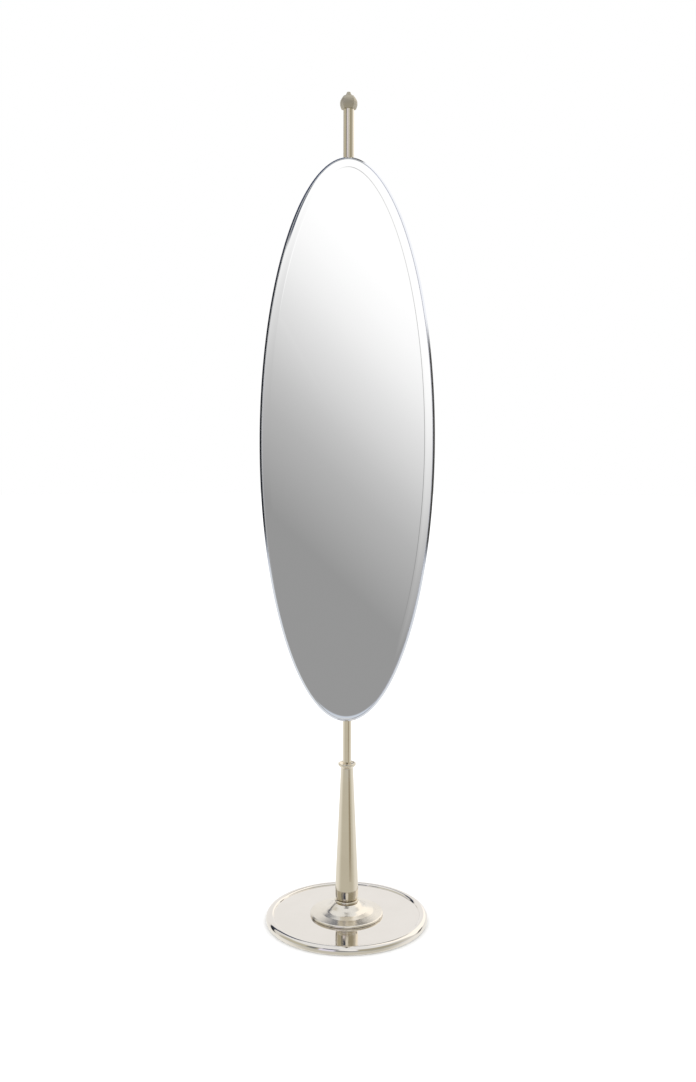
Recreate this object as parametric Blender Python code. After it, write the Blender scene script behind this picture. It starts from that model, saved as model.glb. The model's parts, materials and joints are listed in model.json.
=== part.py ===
"""Cheval floor mirror: a tall elliptical mirror carried in front of one nickel pole.

The pole stands on a weighted round base. A stop collar clamped on the lower pole sets the
height, the upper tube rests on the collar and turns on it, and a bracket on the tube carries
the mirror on a horizontal tilt bolt.

Frame: metres, +Z up, origin on the floor at the centre of the base. The mirror faces -Y.
"""
import math

import bmesh
import bpy
from mathutils import Matrix, Vector

# Driving dimensions, in metres.
TOTAL_HEIGHT = 2.100
GAP = 0.0003

BASE_RADIUS = 0.211
PLATE_TOP = 0.0160
PLATE_THICKNESS = 0.0027
FELT_THICKNESS = 0.0030
TIE_ROD_RADIUS = 0.0048
TIE_HOLE_RADIUS = 0.0053
TIE_ROD_BOTTOM = 0.0036
TIE_ROD_TOP = 0.3845
PLUG_BOTTOM = 0.3720
PLUG_RADIUS = 0.0130

FLANGE_RADIUS = 0.095
BOSS_TOP = 0.0515
RING_TOP = 0.0575
COLUMN_WIDEST_RADIUS = 0.0300
COLUMN_WIDEST_HEIGHT = 0.0860
COLUMN_TOP_RADIUS = 0.0156
COLUMN_TOP = 0.4075
COLUMN_WALL = 0.0020
COLLAR_RADIUS = 0.0230
COLLAR_TOP = 0.4210

POLE_RADIUS = 0.0110
POLE_WALL = 0.0018
POLE_BOTTOM = 0.3883
POLE_TOP = 1.6000
TUBE_RADIUS = 0.0133
TUBE_BORE = 0.0121
TUBE_BOTTOM = 0.7600
TUBE_TOP = 2.0600

STOP_TOP = 0.7537
STOP_HEIGHT = 0.0300
STOP_RADIUS = 0.0190

PIVOT_HEIGHT = 1.2500
PIVOT_FORWARD = 0.0780
REST_TILT = math.radians(-5.6)
BOLT_RADIUS = 0.0040
BOLT_HOLE_RADIUS = 0.0043
KNOB_LOBES = 10
KNOB_STEPS = 40
KNOB_FLUTE = 0.035
KNUCKLE_RADIUS = 0.0130
KNUCKLE_HALF_WIDTH = 0.0100
EAR_THICKNESS = 0.0040
SLEEVE_RADIUS = 0.0190
SLEEVE_HALF_HEIGHT = 0.0280

MIRROR_WIDTH = 0.421
MIRROR_HEIGHT = 1.354
RIM_FRONT = -0.0620
RIM_BACK = -0.0420
RIM_FACE = 0.0060
RIM_WALL = 0.0020
GLASS_FRONT = -0.0598
GLASS_THICKNESS = 0.0050
BEVEL_WIDTH = 0.0180
BEVEL_DROP = 0.0022
BOARD_THICKNESS = 0.0060
HINGE_PLATE_THICKNESS = 0.0040
HINGE_HALF_WIDTH = 0.0750
HINGE_HALF_HEIGHT = 0.0600
HINGE_SCREW_ACROSS = 0.0600
HINGE_SCREW_UP = 0.0460
CLIP_COUNT = 8
CLIP_HALF_WIDTH = 0.0070
CLIP_TONGUE = 0.0180
CLIP_THICKNESS = 0.0012
CLIP_SCREW_INSET = 0.0110
SCREW_HOLE_RADIUS = 0.0021
SCREW_DEPTH = 0.0042
PILOT_DEPTH = 0.0046

BASE_STEPS = 40
ROUND_STEPS = 32
SMALL_STEPS = 16
ELLIPSE_STEPS = 64

QUARTER_TURN = math.pi / 2.0


def clear_scene():
    """Remove every object that the file opened with."""
    for item in list(bpy.data.objects):
        bpy.data.objects.remove(item, do_unlink=True)


def make_material(name, color, roughness, metallic):
    """Return a Principled material of one plain finish."""
    finish = bpy.data.materials.new(name)
    finish.use_nodes = True
    shader = finish.node_tree.nodes["Principled BSDF"]
    shader.inputs["Base Color"].default_value = (*color, 1.0)
    shader.inputs["Roughness"].default_value = roughness
    shader.inputs["Metallic"].default_value = metallic
    return finish


def make_empty(name, location, parent=None, rotation=(0.0, 0.0, 0.0)):
    """Return an empty that holds a joint's axis."""
    pivot = bpy.data.objects.new(name, None)
    pivot.empty_display_size = 0.03
    pivot.location = location
    pivot.rotation_euler = rotation
    pivot.parent = parent
    bpy.context.scene.collection.objects.link(pivot)
    return pivot


def add_piece(name, mesh, finish, parent=None, location=(0.0, 0.0, 0.0), rotation=(0.0, 0.0, 0.0)):
    """Put a mesh into the scene as one named piece."""
    mesh.shade_smooth()
    mesh.set_sharp_from_angle(angle=math.radians(32.0))
    mesh.materials.clear()
    mesh.materials.append(finish)
    piece = bpy.data.objects.new(name, mesh)
    piece.location = location
    piece.rotation_euler = rotation
    piece.parent = parent
    bpy.context.scene.collection.objects.link(piece)
    return piece


def mesh_from(bm, name):
    """Close off a bmesh: weld, point the faces outwards and return its mesh."""
    bmesh.ops.remove_doubles(bm, verts=bm.verts, dist=1e-7)
    bmesh.ops.recalc_face_normals(bm, faces=bm.faces)
    mesh = bpy.data.meshes.new(name)
    bm.to_mesh(mesh)
    bm.free()
    return mesh


def turned_mesh(name, outline, steps=ROUND_STEPS, lobes=0, lobe_depth=0.0):
    """Turn a closed outline of (radius, height) points about Z.

    A point on the axis becomes one pole. With lobes, each radius is multiplied by
    1 + lobe_depth * cos(lobes * angle), which gives a fluted knob.
    """
    bm = bmesh.new()
    rings = []
    for radius, height in outline:
        if radius == 0.0:
            rings.append([bm.verts.new((0.0, 0.0, height))])
            continue
        ring = []
        for step in range(steps):
            angle = 2.0 * math.pi * step / steps
            reach = radius * (1.0 + lobe_depth * math.cos(lobes * angle))
            ring.append(bm.verts.new((reach * math.cos(angle), reach * math.sin(angle), height)))
        rings.append(ring)
    for lower, upper in zip(rings, rings[1:] + rings[:1]):
        if len(lower) == 1 and len(upper) == 1:
            continue
        for step in range(steps):
            after = (step + 1) % steps
            if len(lower) == 1:
                bm.faces.new((lower[0], upper[after], upper[step]))
            elif len(upper) == 1:
                bm.faces.new((lower[step], lower[after], upper[0]))
            else:
                bm.faces.new((lower[step], lower[after], upper[after], upper[step]))
    return mesh_from(bm, name)


def tube_outline(outer, inner, bottom, top, edge=0.0):
    """Outline of a plain tube or washer, with its outer edges rounded off by edge."""
    if edge == 0.0:
        return [(inner, bottom), (outer, bottom), (outer, top), (inner, top)]
    return [
        (inner, bottom), (outer - edge, bottom), (outer, bottom + edge),
        (outer, top - edge), (outer - edge, top), (inner, top),
    ]


def rod_outline(radius, bottom, top, edge=0.0):
    """Outline of a solid rod, with its edges rounded off by edge."""
    if edge == 0.0:
        return [(0.0, bottom), (radius, bottom), (radius, top), (0.0, top)]
    return [
        (0.0, bottom), (radius - edge, bottom), (radius, bottom + edge),
        (radius, top - edge), (radius - edge, top), (0.0, top),
    ]


def arc(center, radius, start, end, steps):
    """Points on an arc in the outline plane, from one angle in degrees to another."""
    points = []
    for step in range(steps + 1):
        angle = math.radians(start + (end - start) * step / steps)
        points.append((center[0] + radius * math.cos(angle), center[1] + radius * math.sin(angle)))
    return points


def oval_ring(bm, inset, depth):
    """A ring of points on the mirror's ellipse, moved in by inset, at a depth along Y."""
    ring = []
    for step in range(ELLIPSE_STEPS):
        angle = 2.0 * math.pi * step / ELLIPSE_STEPS
        across = (MIRROR_WIDTH / 2.0 - inset) * math.cos(angle)
        up = (MIRROR_HEIGHT / 2.0 - inset) * math.sin(angle)
        ring.append(bm.verts.new((across, depth, up)))
    return ring


def oval_mesh(name, outline, closed):
    """Carry an outline of (inset, depth) points round the mirror's ellipse.

    A closed outline gives a rim; an open one is a plate, whose first and last rings are filled.
    """
    bm = bmesh.new()
    rings = [oval_ring(bm, inset, depth) for inset, depth in outline]
    pairs = list(zip(rings, rings[1:]))
    if closed:
        pairs.append((rings[-1], rings[0]))
    else:
        bm.faces.new(rings[0])
        bm.faces.new(rings[-1])
    for first, second in pairs:
        for step in range(ELLIPSE_STEPS):
            after = (step + 1) % ELLIPSE_STEPS
            bm.faces.new((first[step], first[after], second[after], second[step]))
    return mesh_from(bm, name)


def box_mesh(name, low, high, edge=0.0):
    """A box between two corners, with its edges bevelled by edge."""
    bm = bmesh.new()
    size = Vector(high) - Vector(low)
    middle = (Vector(high) + Vector(low)) / 2.0
    place = Matrix.Translation(middle) @ Matrix.Diagonal((*size, 1.0))
    bmesh.ops.create_cube(bm, size=1.0, matrix=place)
    if edge > 0.0:
        bmesh.ops.bevel(bm, geom=bm.edges[:], offset=edge, segments=1, affect="EDGES")
    return mesh_from(bm, name)


def cylinder_mesh(name, radius, start, end, steps=SMALL_STEPS):
    """A solid round bar between two points."""
    bm = bmesh.new()
    run = Vector(end) - Vector(start)
    turn = Vector((0.0, 0.0, 1.0)).rotation_difference(run).to_matrix().to_4x4()
    place = Matrix.Translation((Vector(start) + Vector(end)) / 2.0) @ turn
    bmesh.ops.create_cone(
        bm, cap_ends=True, segments=steps, radius1=radius, radius2=radius,
        depth=run.length, matrix=place,
    )
    return mesh_from(bm, name)


def add_boolean(piece, mesh, operation):
    """Join or cut a piece with a mesh in the piece's own axes."""
    tool = bpy.data.objects.new(mesh.name, mesh)
    tool.hide_render = True
    tool.display_type = "WIRE"
    tool.parent = piece
    bpy.context.scene.collection.objects.link(tool)
    step = piece.modifiers.new(mesh.name, "BOOLEAN")
    step.operation = operation
    step.solver = "EXACT"
    step.object = tool


def build_base(nickel, iron, felt, steel):
    """The weighted base: shell, ballast, felt pad and the nut that pulls them together."""
    plate_bottom = PLATE_TOP - PLATE_THICKNESS
    shell = [
        (TIE_HOLE_RADIUS, plate_bottom), (TIE_HOLE_RADIUS, PLATE_TOP), (0.1860, PLATE_TOP),
        (0.1885, 0.0184), (0.1935, 0.0203), (0.2000, 0.0207), (0.2060, 0.0192),
        (0.2100, 0.0150), (BASE_RADIUS, 0.0100), (0.2102, 0.0045), (0.2080, 0.0012),
        (0.2050, 0.0012), (0.2047, 0.0105), (0.2020, plate_bottom),
    ]
    add_piece("base_shell", turned_mesh("base_shell", shell, BASE_STEPS), nickel)
    felt_radius = 0.2035
    add_piece("felt_pad", turned_mesh("felt_pad", rod_outline(felt_radius, 0.0, FELT_THICKNESS)), felt)
    iron_bottom = FELT_THICKNESS + GAP
    iron_top = plate_bottom - GAP
    pocket_radius = 0.0220
    pocket_top = 0.0103
    ballast = [
        (TIE_HOLE_RADIUS, pocket_top), (pocket_radius, pocket_top), (pocket_radius, iron_bottom),
        (0.1975, iron_bottom), (0.1990, iron_bottom + 0.0015), (0.1990, iron_top - 0.0015),
        (0.1975, iron_top), (TIE_HOLE_RADIUS, iron_top),
    ]
    add_piece("ballast", turned_mesh("ballast", ballast), iron)
    washer_bottom = pocket_top - GAP - 0.0014
    washer = tube_outline(0.0170, TIE_HOLE_RADIUS, washer_bottom, pocket_top - GAP)
    add_piece("tie_washer", turned_mesh("tie_washer", washer, SMALL_STEPS), steel)
    nut_outline = rod_outline(0.0098, TIE_ROD_BOTTOM, washer_bottom - GAP)
    nut = add_piece("tie_nut", turned_mesh("tie_nut", nut_outline, 6), steel)
    thread = cylinder_mesh("nut_thread", TIE_HOLE_RADIUS, (0.0, 0.0, 0.0), (0.0, 0.0, PLATE_TOP))
    add_boolean(nut, thread, "DIFFERENCE")
    rod = rod_outline(TIE_ROD_RADIUS, TIE_ROD_BOTTOM, TIE_ROD_TOP, 0.0006)
    add_piece("tie_rod", turned_mesh("tie_rod", rod, SMALL_STEPS), steel)


def build_column(nickel, steel):
    """The boss, the tapered column and the dished collar, threaded on the tie rod."""
    foot = PLATE_TOP + GAP
    boss = [
        (0.0895, foot), (0.0932, foot), (0.0946, 0.0178), (FLANGE_RADIUS, 0.0198),
        (0.0943, 0.0218), (0.0920, 0.0230), (0.0700, 0.0268), (0.0545, 0.0314),
        (0.0450, 0.0372), (0.0380, 0.0445), (0.0322, 0.0494),
        (0.0275, BOSS_TOP), (TIE_HOLE_RADIUS, BOSS_TOP), (TIE_HOLE_RADIUS, 0.0475),
        (0.0275, 0.0468), (0.0390, 0.0338), (0.0560, 0.0258), (0.0870, 0.0196),
    ]
    add_piece("boss_flange", turned_mesh("boss_flange", boss, BASE_STEPS), nickel)
    ring_bottom = BOSS_TOP + GAP
    ring_middle = (ring_bottom + RING_TOP) / 2.0
    ring_bead = arc((0.0289, ring_middle), (RING_TOP - ring_bottom) / 2.0, -90.0, 90.0, 4)
    ring = [(0.0120, ring_bottom)] + ring_bead + [(0.0120, RING_TOP)]
    add_piece("foot_ring", turned_mesh("foot_ring", ring), nickel)
    column_bottom = RING_TOP + GAP
    column = [
        (0.0120, column_bottom), (0.0250, column_bottom), (0.0274, 0.0598), (0.0291, 0.0640),
        (0.0298, 0.0710), (COLUMN_WIDEST_RADIUS, COLUMN_WIDEST_HEIGHT),
        (COLUMN_TOP_RADIUS, COLUMN_TOP), (COLUMN_TOP_RADIUS - COLUMN_WALL, COLUMN_TOP),
        (COLUMN_WIDEST_RADIUS - COLUMN_WALL, COLUMN_WIDEST_HEIGHT), (0.0240, 0.0640),
        (0.0120, 0.0620),
    ]
    add_piece("column", turned_mesh("column", column), nickel)
    flange_bottom = COLUMN_TOP + GAP
    flange_top = flange_bottom + 0.0014
    socket_radius = POLE_RADIUS + GAP
    rod_clear = TIE_ROD_RADIUS + GAP
    plug = [
        (PLUG_RADIUS, PLUG_BOTTOM), (PLUG_RADIUS, flange_bottom), (0.0148, flange_bottom),
        (0.0148, flange_top), (socket_radius, flange_top), (socket_radius, POLE_BOTTOM - GAP),
        (rod_clear, POLE_BOTTOM - GAP), (rod_clear, PLUG_BOTTOM),
    ]
    add_piece("column_plug", turned_mesh("column_plug", plug, SMALL_STEPS), steel)
    collar_bore = POLE_RADIUS + 0.0005
    collar_seat = flange_top + GAP
    collar = [
        (0.0151, collar_seat), (0.0151, flange_bottom), (0.0160, flange_bottom),
        (0.0168, 0.0016 + flange_bottom), (0.0192, 0.4118), (0.0218, 0.4146),
        (COLLAR_RADIUS, 0.4180), (0.0228, 0.4200), (0.0217, COLLAR_TOP), (0.0205, 0.4206),
        (0.0188, 0.4185), (0.0158, 0.4160), (0.0126, 0.4147), (collar_bore, 0.4140),
        (collar_bore, collar_seat),
    ]
    add_piece("column_collar", turned_mesh("column_collar", collar), nickel)


def build_pole(nickel, nylon):
    """The slim lower pole with the guide cap on its top end."""
    bore = POLE_RADIUS - POLE_WALL
    pole = tube_outline(POLE_RADIUS, bore, POLE_BOTTOM, POLE_TOP)
    add_piece("lower_pole", turned_mesh("lower_pole", pole, 32), nickel)
    guide = [
        (0.0, POLE_TOP - 0.0200), (bore - GAP, POLE_TOP - 0.0200), (bore - GAP, POLE_TOP + GAP),
        (TUBE_BORE - GAP, POLE_TOP + GAP), (TUBE_BORE - GAP, POLE_TOP + 0.0120),
        (0.0090, POLE_TOP + 0.0140), (0.0, POLE_TOP + 0.0140),
    ]
    add_piece("pole_guide", turned_mesh("pole_guide", guide, SMALL_STEPS), nylon)


def build_stop(stop_axis, knob_axis, nickel, steel, brass):
    """The stop collar that sets the height, its thrust washer, and the clamp screw and knob."""
    bore = POLE_RADIUS + GAP
    collar = tube_outline(STOP_RADIUS, bore, STOP_TOP - STOP_HEIGHT, STOP_TOP, 0.0025)
    mesh = turned_mesh("stop_collar", collar)
    mesh.transform(Matrix.Translation(-stop_axis.location))
    stop = add_piece("stop_collar", mesh, nickel, stop_axis)
    screw_radius = 0.0030
    drop = knob_axis.location.z
    hole = cylinder_mesh(
        "stop_screw_hole", screw_radius + GAP, (0.0, 0.0, drop), (0.0, STOP_RADIUS + 0.01, drop),
    )
    add_boolean(stop, hole, "DIFFERENCE")
    washer = tube_outline(0.0150, bore, STOP_TOP + GAP, STOP_TOP + 0.0025, 0.0005)
    mesh = turned_mesh("thrust_washer", washer, 32)
    mesh.transform(Matrix.Translation(-stop_axis.location))
    add_piece("thrust_washer", mesh, brass, stop_axis)
    screw = rod_outline(screw_radius, POLE_RADIUS + 0.0004, 0.0310)
    along_y = (-QUARTER_TURN, 0.0, 0.0)
    add_piece(
        "stop_screw", turned_mesh("stop_screw", screw, 16), steel, knob_axis, rotation=along_y,
    )
    face = STOP_RADIUS + 0.0015
    knob = [
        (screw_radius + GAP, face), (0.0060, face), (0.0065, face + 0.0030),
        (0.0100, face + 0.0042), (0.0120, face + 0.0065), (0.0120, face + 0.0120),
        (0.0100, face + 0.0145), (0.0, face + 0.0152), (0.0, 0.0314),
        (screw_radius + GAP, 0.0314),
    ]
    add_piece(
        "stop_knob", turned_mesh("stop_knob", knob, KNOB_STEPS, KNOB_LOBES, KNOB_FLUTE), nickel, knob_axis,
        rotation=along_y,
    )


def finial_mesh(name):
    """A five-sided bud with a pointed cap, hollow beneath, on the tube's end.

    Each level is a pentagon with a flat towards -Y, so the silhouette is a faceted acorn.
    """
    sides = 5
    levels = [
        (0.0186, 2.0578), (0.0218, 2.0665), (0.0230, 2.0748), (0.0216, 2.0806),
        (0.0162, 2.0880), (0.0084, 2.0945), (0.0036, TOTAL_HEIGHT),
    ]
    seat_radius = TUBE_RADIUS + GAP
    seat_top = TUBE_TOP + GAP
    stud_radius = BOLT_HOLE_RADIUS
    bm = bmesh.new()
    rings = []
    for radius, height in levels:
        ring = []
        for side in range(sides):
            angle = -QUARTER_TURN + math.pi / sides + 2.0 * math.pi * side / sides
            ring.append(bm.verts.new((radius * math.cos(angle), radius * math.sin(angle), height)))
        rings.append(ring)
    for lower, upper in zip(rings, rings[1:]):
        for side in range(sides):
            after = (side + 1) % sides
            bm.faces.new((lower[side], lower[after], upper[after], upper[side]))
    bm.faces.new(rings[0])
    bm.faces.new(rings[-1])
    bmesh.ops.recalc_face_normals(bm, faces=bm.faces)
    upright = [edge for edge in bm.edges if abs(edge.verts[0].co.z - edge.verts[1].co.z) > 1e-5]
    bmesh.ops.bevel(bm, geom=upright, offset=0.0022, segments=2, affect="EDGES", profile=0.5)
    mesh = mesh_from(bm, name)
    seat = rod_outline(seat_radius, levels[0][1] - 0.01, seat_top)
    stud = rod_outline(stud_radius, levels[0][1] - 0.01, 2.0800)
    return mesh, turned_mesh("finial_seat", seat, 32), turned_mesh("finial_thread", stud, 16)


def build_post(tube_axis, nickel, steel, nylon):
    """The upper tube with its bush, the finial and the bracket that carries the mirror."""
    tube = tube_outline(TUBE_RADIUS, TUBE_BORE, TUBE_BOTTOM, TUBE_TOP)
    down = Matrix.Translation(-tube_axis.matrix_world.translation)

    def add_turned(name, outline, finish, steps):
        mesh = turned_mesh(name, outline, steps)
        mesh.transform(down)
        return add_piece(name, mesh, finish, tube_axis)

    add_turned("upper_tube", tube, nickel, 32)
    bush = [
        (POLE_RADIUS + GAP, TUBE_BOTTOM - 0.0035), (TUBE_RADIUS, TUBE_BOTTOM - 0.0035),
        (TUBE_RADIUS, TUBE_BOTTOM - GAP), (TUBE_BORE - GAP, TUBE_BOTTOM - GAP),
        (TUBE_BORE - GAP, TUBE_BOTTOM + 0.0400), (POLE_RADIUS + GAP, TUBE_BOTTOM + 0.0400),
    ]
    add_turned("tube_bush", bush, nylon, 32)
    stud = [
        (0.0, TUBE_TOP - 0.0250), (TUBE_BORE - GAP, TUBE_TOP - 0.0250),
        (TUBE_BORE - GAP, TUBE_TOP), (BOLT_RADIUS, TUBE_TOP), (BOLT_RADIUS, 2.0790), (0.0, 2.0790),
    ]
    add_turned("finial_stud", stud, steel, SMALL_STEPS)
    bud, seat, thread = finial_mesh("finial")
    for mesh in (bud, seat, thread):
        mesh.transform(down)
    finial = add_piece("finial", bud, nickel, tube_axis)
    add_boolean(finial, seat, "DIFFERENCE")
    add_boolean(finial, thread, "DIFFERENCE")
    build_bracket(tube_axis, nickel, steel)


def build_bracket(tube_axis, nickel, steel):
    """The sleeve clamped on the tube, its forward arm and knuckle, and two set screws."""
    rise = PIVOT_HEIGHT - tube_axis.matrix_world.translation.z
    sleeve = tube_outline(
        SLEEVE_RADIUS, TUBE_RADIUS + GAP, rise - SLEEVE_HALF_HEIGHT, rise + SLEEVE_HALF_HEIGHT, 0.003,
    )
    bracket = add_piece("bracket_arm", turned_mesh("bracket_arm", sleeve), nickel, tube_axis)
    arm_root = SLEEVE_RADIUS - 0.0040
    arm = cylinder_mesh("arm_bar", 0.0085, (0.0, -arm_root, rise), (0.0, -PIVOT_FORWARD, rise))
    add_boolean(bracket, arm, "UNION")
    knuckle = cylinder_mesh(
        "arm_knuckle", KNUCKLE_RADIUS, (-KNUCKLE_HALF_WIDTH, -PIVOT_FORWARD, rise),
        (KNUCKLE_HALF_WIDTH, -PIVOT_FORWARD, rise), 32,
    )
    add_boolean(bracket, knuckle, "UNION")
    bore_half = 2.0 * KNUCKLE_HALF_WIDTH
    bore = cylinder_mesh(
        "arm_bore", BOLT_HOLE_RADIUS, (-bore_half, -PIVOT_FORWARD, rise),
        (bore_half, -PIVOT_FORWARD, rise),
    )
    add_boolean(bracket, bore, "DIFFERENCE")
    screw_radius = 0.0025
    tip = TUBE_RADIUS + GAP
    for label, side in (("lower", -1.0), ("upper", 1.0)):
        height = rise + side * 0.0150
        hole = cylinder_mesh(
            "set_hole_" + label, screw_radius + GAP, (0.0, 0.0, height),
            (0.0, 2.0 * SLEEVE_RADIUS, height), 16,
        )
        add_boolean(bracket, hole, "DIFFERENCE")
        head = SLEEVE_RADIUS + GAP
        screw = [
            (0.0, tip), (screw_radius, tip), (screw_radius, head), (0.0045, head),
            (0.0045, head + 0.0040), (0.0040, head + 0.0045), (0.0022, head + 0.0045),
            (0.0022, head + 0.0020), (0.0, head + 0.0020),
        ]
        add_piece(
            "set_screw_" + label, turned_mesh("set_screw_" + label, screw, 16), steel, tube_axis,
            location=(0.0, 0.0, height), rotation=(-QUARTER_TURN, 0.0, 0.0),
        )


def build_hinge(mirror_axis, knob_axis, nickel, steel, fibre):
    """The hinge plate with two ears, the tilt bolt, its washers and the tilt knob."""
    board_back = GLASS_FRONT + GLASS_THICKNESS + BOARD_THICKNESS + 2.0 * GAP
    front = board_back + GAP
    back = front + HINGE_PLATE_THICKNESS
    plate = add_piece(
        "hinge_plate",
        box_mesh(
            "hinge_plate", (-HINGE_HALF_WIDTH, front, -HINGE_HALF_HEIGHT),
            (HINGE_HALF_WIDTH, back, HINGE_HALF_HEIGHT), 0.0012,
        ),
        steel, mirror_axis,
    )
    ear_inside = KNUCKLE_HALF_WIDTH + 0.0012
    ear_outside = ear_inside + EAR_THICKNESS
    for label, side in (("left", -1.0), ("right", 1.0)):
        near = side * ear_inside
        far = side * ear_outside
        low = min(near, far)
        high = max(near, far)
        tail = box_mesh(
            "ear_web_" + label, (low, back - 0.002, -KNUCKLE_RADIUS), (high, 0.0, KNUCKLE_RADIUS),
        )
        add_boolean(plate, tail, "UNION")
        eye = cylinder_mesh(
            "ear_eye_" + label, KNUCKLE_RADIUS, (low, 0.0, 0.0), (high, 0.0, 0.0), 32,
        )
        add_boolean(plate, eye, "UNION")
        washer_inside = KNUCKLE_HALF_WIDTH + GAP
        washer_outside = ear_inside - GAP
        washer = tube_outline(0.0110, BOLT_HOLE_RADIUS, washer_inside, washer_outside)
        add_piece(
            "fibre_washer_" + label, turned_mesh("fibre_washer_" + label, washer, SMALL_STEPS),
            fibre, mirror_axis, rotation=(0.0, side * QUARTER_TURN, 0.0),
        )
    ear_bore = cylinder_mesh(
        "ear_bore", BOLT_HOLE_RADIUS, (-2.0 * ear_outside, 0.0, 0.0), (2.0 * ear_outside, 0.0, 0.0),
    )
    add_boolean(plate, ear_bore, "DIFFERENCE")
    head = -ear_outside - GAP
    bolt = [
        (0.0, head - 0.0050), (0.0055, head - 0.0044), (0.0075, head - 0.0025), (0.0080, head),
        (BOLT_RADIUS, head), (BOLT_RADIUS, 0.0290), (0.0, 0.0290),
    ]
    along_x = (0.0, QUARTER_TURN, 0.0)
    add_piece(
        "tilt_bolt", turned_mesh("tilt_bolt", bolt, SMALL_STEPS), steel, mirror_axis,
        rotation=along_x,
    )
    face = ear_outside + GAP
    knob = [
        (BOLT_HOLE_RADIUS, face), (0.0085, face), (0.0090, face + 0.0040),
        (0.0125, face + 0.0055), (0.0145, face + 0.0085), (0.0145, face + 0.0150),
        (0.0120, face + 0.0185), (0.0, face + 0.0195), (0.0, 0.0294), (BOLT_HOLE_RADIUS, 0.0294),
    ]
    add_piece(
        "tilt_knob", turned_mesh("tilt_knob", knob, KNOB_STEPS, KNOB_LOBES, KNOB_FLUTE), nickel, knob_axis,
        rotation=along_x,
    )
    return board_back, back


def wood_screw(name, tip, head_seat, finish, parent, across, up):
    """A short screw along Y: its point at tip, its domed head behind head_seat."""
    shank = 0.0018
    outline = [
        (0.0, tip), (shank, tip + 0.0024), (shank, head_seat), (0.0038, head_seat),
        (0.0030, head_seat + 0.0018), (0.0, head_seat + 0.0024),
    ]
    add_piece(
        name, turned_mesh(name, outline, 8), finish, parent,
        location=(across, 0.0, up), rotation=(-QUARTER_TURN, 0.0, 0.0),
    )


def cut_screw_hole(piece, name, front, back, across, up):
    """Cut a clearance hole for a wood screw through a piece, along Y."""
    hole = cylinder_mesh(name, SCREW_HOLE_RADIUS, (across, front, up), (across, back, up), 8)
    add_boolean(piece, hole, "DIFFERENCE")


def build_mirror(mirror_axis, rim_steel, silver, board_finish, steel, board_back, plate_back):
    """The rim, the bevelled glass, the backing board, and the clips and screws behind it."""
    fit = RIM_WALL + GAP
    middle = RIM_FACE / 2.0
    crown = arc((middle, RIM_FRONT + middle), middle, 180.0, 360.0, 4)
    lip_back = GLASS_FRONT + BEVEL_DROP * (1.0 - (RIM_FACE - fit) / BEVEL_WIDTH) - GAP
    rim = crown + [
        (RIM_FACE, lip_back), (RIM_WALL, lip_back),
        (RIM_WALL, RIM_BACK), (0.0004, RIM_BACK), (0.0, RIM_BACK - 0.0006),
    ]
    add_piece("mirror_rim", oval_mesh("mirror_rim", rim, True), rim_steel, mirror_axis)
    glass_back = GLASS_FRONT + GLASS_THICKNESS
    glass = [
        (fit + BEVEL_WIDTH, GLASS_FRONT), (fit, GLASS_FRONT + BEVEL_DROP), (fit, glass_back),
    ]
    add_piece("mirror_glass", oval_mesh("mirror_glass", glass, False), silver, mirror_axis)
    board = [(fit, glass_back + GAP), (fit, board_back)]
    backing = add_piece(
        "backing_board", oval_mesh("backing_board", board, False), board_finish, mirror_axis,
    )
    plate = bpy.data.objects["hinge_plate"]
    sides = [(-1.0, -1.0), (1.0, -1.0), (-1.0, 1.0), (1.0, 1.0)]
    for number, (right, above) in enumerate(sides, 1):
        across = right * HINGE_SCREW_ACROSS
        up = above * HINGE_SCREW_UP
        label = "hinge_screw_%d" % number
        wood_screw(label, board_back - SCREW_DEPTH, plate_back + GAP, steel, mirror_axis, across, up)
        cut_screw_hole(plate, label + "_hole", board_back - 0.002, plate_back + 0.01, across, up)
        cut_screw_hole(backing, label + "_pilot", board_back - PILOT_DEPTH, board_back + 0.01, across, up)
    build_clips(mirror_axis, backing, steel, board_back)


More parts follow.
